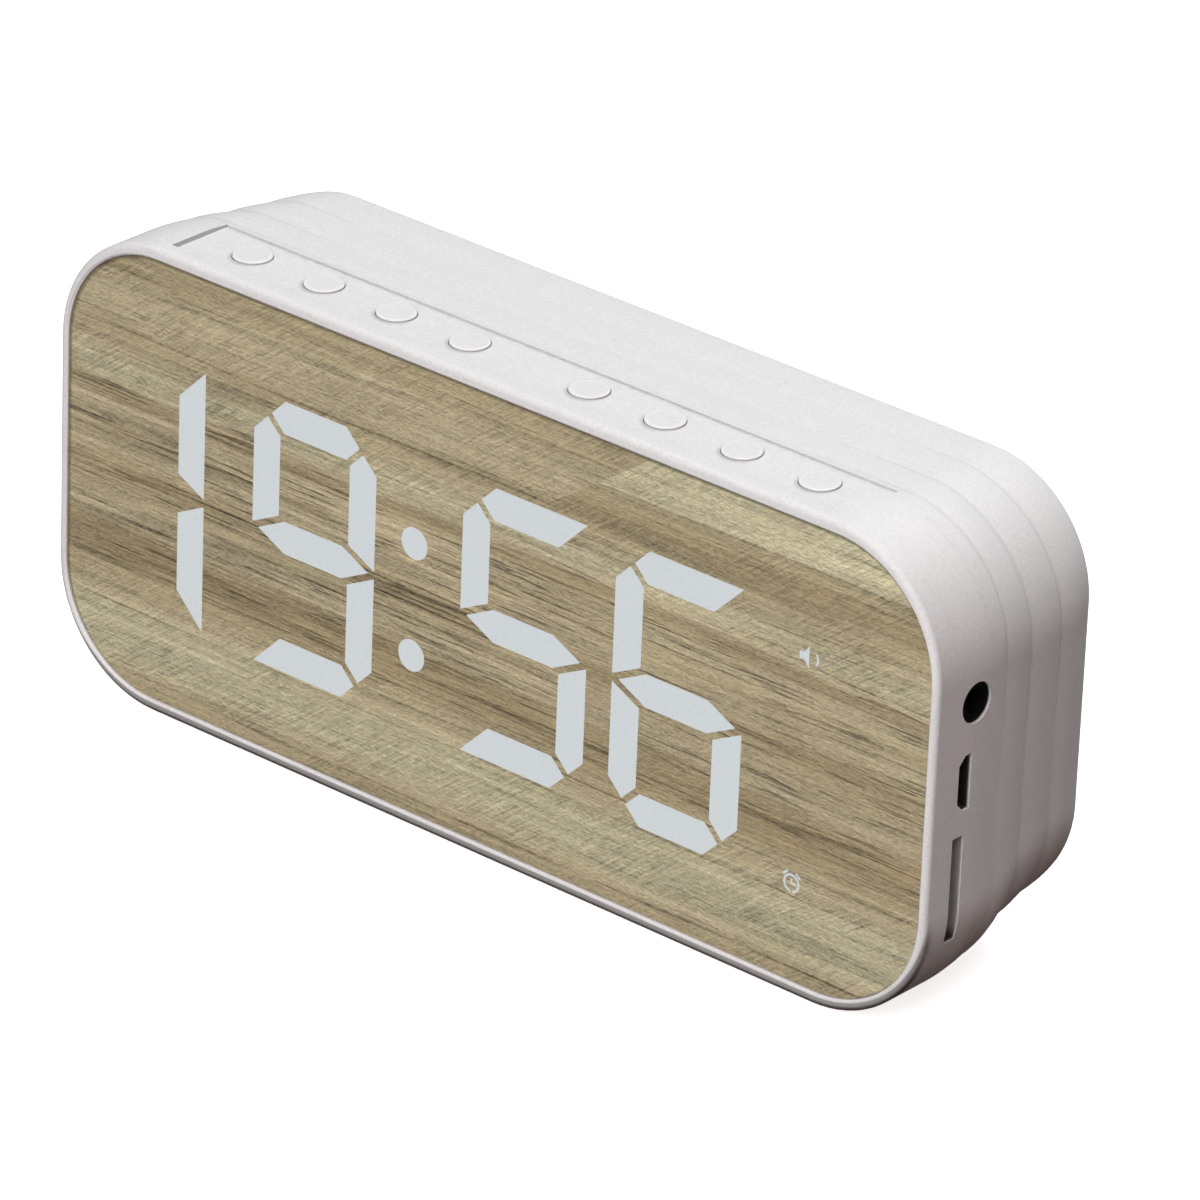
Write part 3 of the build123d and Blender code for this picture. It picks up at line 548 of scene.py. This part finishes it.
# %% Wood print: saw marks, grain and the finished film
SAW_SLANT = 0.64
SAW_LENGTH, SAW_PITCH = 6.0, 0.38
slant_sockets = {"Vector": wood.place, "Angle": SAW_SLANT}
slanted = wood.node("ShaderNodeVectorRotate", {"rotation_type": "Y_AXIS"}, slant_sockets)
saw_scale = (1 / (SAW_LENGTH * MM), 0.0, 1 / (SAW_PITCH * MM))
saw_place = wood.node("ShaderNodeVectorMath", {"operation": "MULTIPLY"}, {0: slanted, 1: saw_scale})
saw_noise = wood.noise_at(saw_place, detail=2.0, roughness=0.5) - NOISE_MIDDLE
saw_patches = wood.noise((14.0, 14.0, 6.0), detail=1.0, shift=(5.0, 0.0, 2.0))
SAW_PATCH, SAWN_LITTLE, SAWN_MORE, SAWN_OFF_ROUGH = (0.36, 0.56), 0.2, 0.8, 0.6
sawn = (saw_patches.between(*SAW_PATCH) * SAWN_MORE + SAWN_LITTLE) * (1 - rough_boards * SAWN_OFF_ROUGH)
saw_marks = saw_noise * sawn
grain = wood.swing((0.7, 0.7, 0.26), roughness=0.65)
SAW_STRENGTH, GRAIN_STRENGTH = 1.3, 1.2
brightness = streaked + saw_marks * SAW_STRENGTH + grain * GRAIN_STRENGTH
printed = wood.node("ShaderNodeVectorMath", {"operation": "SCALE"}, {0: boards, "Scale": brightness})
FILM_DARK, FILM_SHADE_BROWN = 0.7, ink(92, 80, 62)
wood.feed("Base Color", wood.mix(film_shade * FILM_DARK, printed, FILM_SHADE_BROWN))
FILM_ROUGHNESS, FILM_SWING, FILM_RELIEF = 0.5, 0.3, 0.25
wood.feed("Roughness", grain * FILM_SWING + FILM_ROUGHNESS)
wood.bump(grain + saw_marks - cracks, FILM_RELIEF)
dress(wood, "wood_film")

# %% [markdown]
# ## Lit digits
# The lit bars show the diffuser through windows in the film: an even, slightly cool white.
# A strong emission would burn them out, because by daylight they glow only a little.
# So a grey base carries a weak emission, and a faint mottle keeps both from looking flat.

# %% Lit digits and pictograms
lit = Finish("lit_white", {"Roughness": 0.6, "Specular IOR Level": 0.2, "Emission Strength": 1.0})
MOTTLE_SPAN = 0.6
mottle = lit.noise(even(MOTTLE_SPAN))
lit.feed("Base Color", lit.mix(mottle, ink(116, 120, 122), ink(128, 132, 134)))
lit.feed("Emission Color", lit.mix(mottle, ink(176, 182, 185), ink(183, 189, 192)))
digit_names = [name for name in cad_nodes if name.endswith(("_digit", "_icon"))]
dress(lit, *digit_names, "colon_dots", "segment_leds")

# %% [markdown]
# ## Everything else
# The remaining finishes are simple: a colour and a roughness that drift a little, and a fine bump.
# Each could be wired on its own, but one function makes them all alike.
# Only the tones, the size of the specks and of the drift, and the relief are chosen for each material.

# %% Plain finishes with a drift and specks
DRIFT_SHARE, SPECK_SHARE, SPECK_SWING = 0.6, 0.4, 0.2


def plain_finish(name, dark, pale, speck, drift, rough, relief, metal=0.0, gloss=0.4):
    """A finish between two tones, with specks, drift and relief in millimetres."""
    finish = Finish(name, {"Metallic": metal, "Specular IOR Level": gloss})
    specks = finish.noise(speck, roughness=0.6)
    clouds = finish.noise(even(drift))
    share = clouds * DRIFT_SHARE + specks * SPECK_SHARE
    finish.feed("Base Color", finish.mix(share, ink(*dark), ink(*pale)))
    finish.feed("Roughness", specks * SPECK_SWING + (rough - SPECK_SWING / 2))
    finish.bump(specks, relief)
    return finish


# %% [markdown]
# ### Sockets, switches and chips
# The bodies of the sockets and switches are black plastic; the jack and USB tongue take a darker copy as
# painted shade inside the holes.
# The shells of the USB and card sockets are steel, darkened as painted shade, and brushed with long
# specks.

# %% Finish the sockets, switches and chips
# A darker copy of the black plastic: painted shade for the jack and USB tongue inside the holes.
socket_black_in_shade = plain_finish(
    "socket_black_in_shade", dark=(4, 4, 5), pale=(12, 12, 13),
    speck=even(0.3), drift=4.0, rough=0.7, relief=0.02, gloss=0.1,
)
dress(socket_black_in_shade, "audio_jack", "usb_tongue")
# Steel made dark: painted shade for the socket shells inside the holes.
socket_steel_in_shade = plain_finish(
    "socket_steel_in_shade", dark=(44, 42, 42), pale=(66, 64, 64),
    speck=(4.0, 0.15, 0.3), drift=3.0, rough=0.45, relief=0.01, metal=0.5,
)
dress(socket_steel_in_shade, "card_socket", "usb_shell")
black_plastic = plain_finish(
    "black_plastic", dark=(14, 14, 15), pale=(34, 34, 36),
    speck=even(0.3), drift=4.0, rough=0.5, relief=0.02,
)
switch_names = [name for name in cad_nodes if name.startswith("switch_plunger_")]
dress(black_plastic, "tact_switches", "lead_sockets", "board_chips", *switch_names)

# %% [markdown]
# ### Screws, speakers and feet
# Screws and speaker baskets are bright steel, with specks stretched into brush marks.
# Magnets are dull grey, cones are dark paper, and the feet are soft rubber with a rough skin.

# %% Finish the screws, speakers and feet
steel = plain_finish(
    "steel", dark=(150, 150, 152), pale=(196, 196, 198),
    speck=(6.0, 0.15, 0.15), drift=3.0, rough=0.32, relief=0.01, metal=1.0,
)
dress(steel, "case_screws", "board_screws", "speaker_screws")
dress(steel, "left_speaker_basket", "right_speaker_basket")
magnet = plain_finish(
    "magnet_grey", dark=(70, 70, 74), pale=(104, 104, 108),
    speck=even(0.5), drift=5.0, rough=0.45, relief=0.02, metal=0.8,
)
dress(magnet, "left_speaker_magnet", "right_speaker_magnet")
paper = plain_finish(
    "cone_paper", dark=(36, 35, 34), pale=(58, 56, 54),
    speck=even(0.5), drift=4.0, rough=0.85, relief=0.06,
)
dress(paper, "left_speaker_cone", "right_speaker_cone")
rubber = plain_finish(
    "foot_rubber", dark=(52, 52, 54), pale=(74, 74, 76),
    speck=even(0.35), drift=3.0, rough=0.8, relief=0.04,
)
dress(rubber, "rubber_feet")

# %% [markdown]
# ### Display, board and battery
# Behind the film lie a translucent sheet and a white light box.
# The board has a green mask, the battery a blue wrap on foam tape, and the leads have red covers.

# %% Finish the display, board and battery
sheet = plain_finish(
    "diffuser_sheet", dark=(206, 208, 208), pale=(222, 224, 224),
    speck=even(0.5), drift=20.0, rough=0.4, relief=0.01,
)
dress(sheet, "display_panel")
reflector = plain_finish(
    "reflector_white", dark=(214, 214, 214), pale=(232, 232, 232),
    speck=even(0.4), drift=8.0, rough=0.5, relief=0.02,
)
dress(reflector, "light_box")
mask_green = plain_finish(
    "circuit_board", dark=(26, 92, 50), pale=(40, 116, 66),
    speck=(1.2, 1.2, 0.4), drift=5.0, rough=0.35, relief=0.02,
)
dress(mask_green, "main_board")
wrap = plain_finish(
    "cell_wrap", dark=(60, 84, 140), pale=(84, 108, 164),
    speck=even(0.8), drift=10.0, rough=0.3, relief=0.01,
)
dress(wrap, "battery")
foam = plain_finish(
    "foam", dark=(42, 42, 42), pale=(66, 66, 66),
    speck=even(0.25), drift=2.0, rough=0.9, relief=0.1,
)
dress(foam, "battery_tape", "speaker_gaskets")
insulation = plain_finish(
    "wire_cover", dark=(120, 22, 20), pale=(150, 34, 30),
    speck=even(0.3), drift=6.0, rough=0.5, relief=0.01,
)
dress(insulation, "battery_lead", "left_speaker_lead", "right_speaker_lead")

# %% [markdown]
# ## Woven dust cloth
# Behind each grille sits a round of black cloth. A bump could only suggest its threads.
# A weave is one thread repeated, so Geometry Nodes make it, from a tree with named inputs for its sizes.

# %% The weave's tree and its inputs
weave_tree = bpy.data.node_groups.new("cloth_weave", "GeometryNodeTree")
input_kinds = {
    "Radius": "NodeSocketFloat", "Pitch": "NodeSocketFloat", "Lift": "NodeSocketFloat",
    "First": "NodeSocketVector", "Step": "NodeSocketVector", "Cloth": "NodeSocketMaterial",
}
for label, kind in input_kinds.items():
    weave_tree.interface.new_socket(label, in_out="INPUT", socket_type=kind)
weave_tree.interface.new_socket("Geometry", in_out="OUTPUT", socket_type="NodeSocketGeometry")
weave = Nodes(weave_tree)
given = [Wire(weave, socket) for socket in weave.node("NodeGroupInput").socket.node.outputs]
radius, pitch, lift, first_place, step, cloth_used = given[:len(input_kinds)]
print("weave inputs", list(input_kinds))

# %% [markdown]
# ### One row of threads
# A thread is a flat ribbon that a cosine waves up and down, once for every two threads that it crosses.
# A ribbon stands on every point of a row, and every second point is shifted by one thread.
# So neighbours wave the other way, as in a plain weave.


# %% A row of wavy ribbons
def vector(x=0.0, y=0.0, z=0.0):
    """A vector whose parts may be wires."""
    return weave.node("ShaderNodeCombineXYZ", None, {0: x, 1: y, 2: z})


RIBBON_SHARE = 0.8
threads = (radius * 2 / pitch).maths("FLOOR")
length = threads * pitch
ribbon_width = pitch * RIBBON_SHARE
ribbon_sockets = {"Size X": length, "Size Y": ribbon_width, "Vertices X": threads + 1, "Vertices Y": 2}
flat_ribbon = weave.node("GeometryNodeMeshGrid", None, ribbon_sockets)
along_x, _, _ = weave.split(weave.node("GeometryNodeInputPosition"))
wave = vector(z=lift * (along_x * pi / pitch).maths("COSINE"))
ribbon = weave.node("GeometryNodeSetPosition", None, {"Geometry": flat_ribbon, "Offset": wave})
row_sockets = {"Count": threads + 1, "Start Location": vector(y=length * -0.5), "Offset": vector(y=pitch)}
straight_row = weave.node("GeometryNodeMeshLine", None, row_sockets)
odd = weave.node("GeometryNodeInputIndex").maths("MODULO", 2.0)
row_shift = vector(x=odd * pitch)
row = weave.node("GeometryNodeSetPosition", None, {"Geometry": straight_row, "Offset": row_shift})
warp = weave.node("GeometryNodeInstanceOnPoints", None, {"Points": row, "Instance": ribbon})
print("ribbons cover", RIBBON_SHARE, "of the pitch")

# %% [markdown]
# ### The round of cloth
# The same row, turned a quarter, crosses the first one.
# What lies outside the round is deleted, and two upright rounds are set behind the two grilles.
# The tree ends by making the copies real, because the export drops instances, and by dressing them.

# %% Cross the rows, cut the round and set it twice
quarter = {"Geometry": warp, "Translation": vector(y=pitch), "Rotation": (0.0, 0.0, pi / 2)}
weft = weave.node("GeometryNodeTransform", None, quarter)
joined = weave.node("GeometryNodeJoinGeometry")
for threads_one_way in (warp, weft):
    weave.join(threads_one_way, joined.socket.node.inputs[0])
square = weave.node("GeometryNodeRealizeInstances", None, {0: joined})
spot = weave.node("GeometryNodeInputPosition")
reach = weave.node("ShaderNodeVectorMath", {"operation": "LENGTH"}, {0: spot}, out=1)
cut = {"Geometry": square, "Selection": reach > radius}
flat_round = weave.node("GeometryNodeDeleteGeometry", {"domain": "POINT"}, cut)
upright = {"Geometry": flat_round, "Rotation": (pi / 2, 0.0, 0.0)}
cloth_round = weave.node("GeometryNodeTransform", None, upright)
line = {"Count": 2, "Start Location": first_place, "Offset": step}
places = weave.node("GeometryNodeMeshLine", None, line)
rounds = weave.node("GeometryNodeInstanceOnPoints", None, {"Points": places, "Instance": cloth_round})
real = weave.node("GeometryNodeRealizeInstances", None, {0: rounds})
dressed = weave.node("GeometryNodeSetMaterial", None, {"Geometry": real, "Material": cloth_used})
weave.join(dressed, weave.tree.nodes.new("NodeGroupOutput").inputs[0])
print("weave tree", len(weave.tree.nodes), "nodes")

# %% [markdown]
# ### The finished cloth
# The cloth takes its size and place from the CAD's plain cloths, which it replaces.
# The modifier's inputs are set by their identifiers, and the result is kept as a plain mesh.
# The first material slot is left over from the empty mesh, so it is removed.

# %% Weave the cloth and set it behind the grilles
cloth = plain_finish(
    "dust_cloth", dark=(30, 30, 31), pale=(66, 66, 67),
    speck=even(0.35), drift=3.0, rough=0.9, relief=0.08,
)
cloth_low, cloth_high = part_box("grille_cloths")
cloth_radius = (cloth_high.z - cloth_low.z) / 2
cloth_middle = (cloth_low + cloth_high) / 2
cloth_side = cloth_high.x - cloth_radius
THREAD_PITCH, THREAD_LIFT = 0.9 * MM, 0.1 * MM
inputs = {
    "Radius": cloth_radius, "Pitch": THREAD_PITCH, "Lift": THREAD_LIFT,
    "First": (-cloth_side, cloth_middle.y, cloth_middle.z), "Step": (2 * cloth_side, 0.0, 0.0),
    "Cloth": cloth.material,
}
scene = bpy.context.scene
weave_piece = bpy.data.objects.new("cloth_weave", bpy.data.meshes.new("cloth_weave"))
scene.collection.objects.link(weave_piece)
modifier = weave_piece.modifiers.new("weave", "NODES")
modifier.node_group = weave_tree
for socket in weave_tree.interface.items_tree:
    if socket.name in inputs:
        modifier[socket.identifier] = inputs[socket.name]
evaluated = weave_piece.evaluated_get(bpy.context.evaluated_depsgraph_get())
woven = bpy.data.meshes.new_from_object(evaluated)
weave_piece.modifiers.remove(modifier)
woven.materials.pop(index=0)
weave_piece.data = woven
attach(weave_piece, "case")
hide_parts("grille_cloths")
print("cloth weave", len(woven.polygons), "faces in", woven.materials[0].name)

# %% [markdown]
# ## Floor
# The photograph is a studio shot on white. The floor is plain and pale, and far away its edges curve up,
# as a photographer's paper cove does.
# Its rings have a radius and a level in metres.
# It glows a little, to stay white, and sends no light back up, so that the shaded side keeps its shade.

# %% Floor with a cove
FLOOR_LEVEL = -0.05 * MM
COVE_RINGS = [(5.0, FLOOR_LEVEL), (5.6, 0.15), (6.0, 0.6), (6.2, 2.0), (6.2, 9.0)]
COVE_STEPS = 64
turns = [2 * pi * turn / COVE_STEPS for turn in range(COVE_STEPS)]
points = [(0.0, 0.0, FLOOR_LEVEL)]
for ring_radius, level in COVE_RINGS:
    points += [(ring_radius * cos(turn), ring_radius * sin(turn), level) for turn in turns]
neighbours = [(turn, (turn + 1) % COVE_STEPS) for turn in range(COVE_STEPS)]
faces = [(0, 1 + first, 1 + second) for first, second in neighbours]
for ring in range(len(COVE_RINGS) - 1):
    inner = 1 + ring * COVE_STEPS
    outer = inner + COVE_STEPS
    for first, second in neighbours:
        faces.append((inner + first, outer + first, outer + second, inner + second))
floor_mesh = bpy.data.meshes.new("floor")
floor_mesh.from_pydata(points, [], faces)
floor = bpy.data.objects.new("floor", floor_mesh)
scene.collection.objects.link(floor)
floor.visible_diffuse = False
floor.visible_glossy = False
print("floor", len(faces), "faces")

# %% [markdown]
# ### The floor's white
# White paper drifts a little in tone. The glow lifts it to the white of the photograph's ground.

# %% Finish the floor
FLOOR_GLOW, FLOOR_DRIFT = 0.75, 400.0
floor_sockets = {
    "Roughness": 0.9, "Specular IOR Level": 0.0,
    "Emission Strength": FLOOR_GLOW, "Emission Color": (1.0, 1.0, 1.0, 1.0),
}
floor_white = Finish("floor_white", floor_sockets)
floor_drift = floor_white.noise(even(FLOOR_DRIFT))
floor_white.feed("Base Color", floor_white.mix(floor_drift, ink(250, 250, 250), ink(253, 253, 253)))
floor_mesh.materials.append(floor_white.material)
print("floor glows at", FLOOR_GLOW)

# %% [markdown]
# ## Light
# The clock is bright from above and in front, with its right side in shade.
# Small lamps would draw hard shadows, so large soft squares do it, and a low even world fills the shade.

# %% Light
LIGHT_AIM = Vector((0, 0, 0.03))


def soft_light(name, place, size, power, colour):
    """Square area light that faces the clock."""
    lamp_data = bpy.data.lights.new(name, "AREA")
    lamp_data.energy = power
    lamp_data.size = size
    lamp_data.color = colour
    lamp = bpy.data.objects.new(name, lamp_data)
    lamp.location = place
    lamp.rotation_euler = (LIGHT_AIM - Vector(place)).to_track_quat("-Z", "Y").to_euler()
    scene.collection.objects.link(lamp)


soft_light("front_light", (0.0, -1.3, 0.55), size=1.0, power=11.5, colour=(0.98, 1.0, 1.0))
soft_light("right_light", (0.6, -1.0, 0.9), size=1.0, power=11.0, colour=(1.0, 0.87, 0.85))
soft_light("top_light", (0.0, 0.7, 1.15), size=1.0, power=12.6, colour=(0.965, 1.0, 1.005))
soft_light("low_light", (0.9, -0.1, 0.08), size=0.4, power=0.4, colour=(1.0, 0.88, 0.78))
soft_light("back_light", (-0.3, 1.4, 0.4), size=1.0, power=5.0, colour=(1.0, 1.0, 1.0))
WORLD_WARM, WORLD_STRENGTH = (1.0, 0.6, 0.56, 1.0), 0.06
world = bpy.data.worlds.new("even_world")
scene.world = world
world.use_nodes = True
background = world.node_tree.nodes["Background"]
background.inputs["Color"].default_value = WORLD_WARM
background.inputs["Strength"].default_value = WORLD_STRENGTH
scene.view_settings.view_transform = "Standard"
print(len(bpy.data.lights), "lights and a world of", WORLD_STRENGTH)

# %% [markdown]
# ## Camera
# The photograph was taken from the right and above, with a long lens.
# A camera could be moved by eye, but fitting the case's edges in the photograph is more exact.
# The fit gives three directions and a place, so they are written as numbers.

# %% Camera
camera_data = bpy.data.cameras.new("photo_camera")
camera_data.lens = 262.544
camera_data.sensor_width = 36.0
camera_data.clip_start = 0.05
camera_data.clip_end = 50.0
camera = bpy.data.objects.new("photo_camera", camera_data)
camera_right = Vector((0.752067, 0.658123, 0.035625))
camera_up = Vector((-0.313520, 0.309682, 0.897665))
camera_back = Vector((0.579742, -0.686273, 0.439237))
camera_place = Vector((0.673669, -0.791365, 0.539789))
camera_turn = Matrix((camera_right, camera_up, camera_back)).transposed()
camera.matrix_world = Matrix.Translation(camera_place) @ camera_turn.to_4x4()
scene.collection.objects.link(camera)
scene.camera = camera
print("camera", round(camera_place.length, 3), "m from the clock")
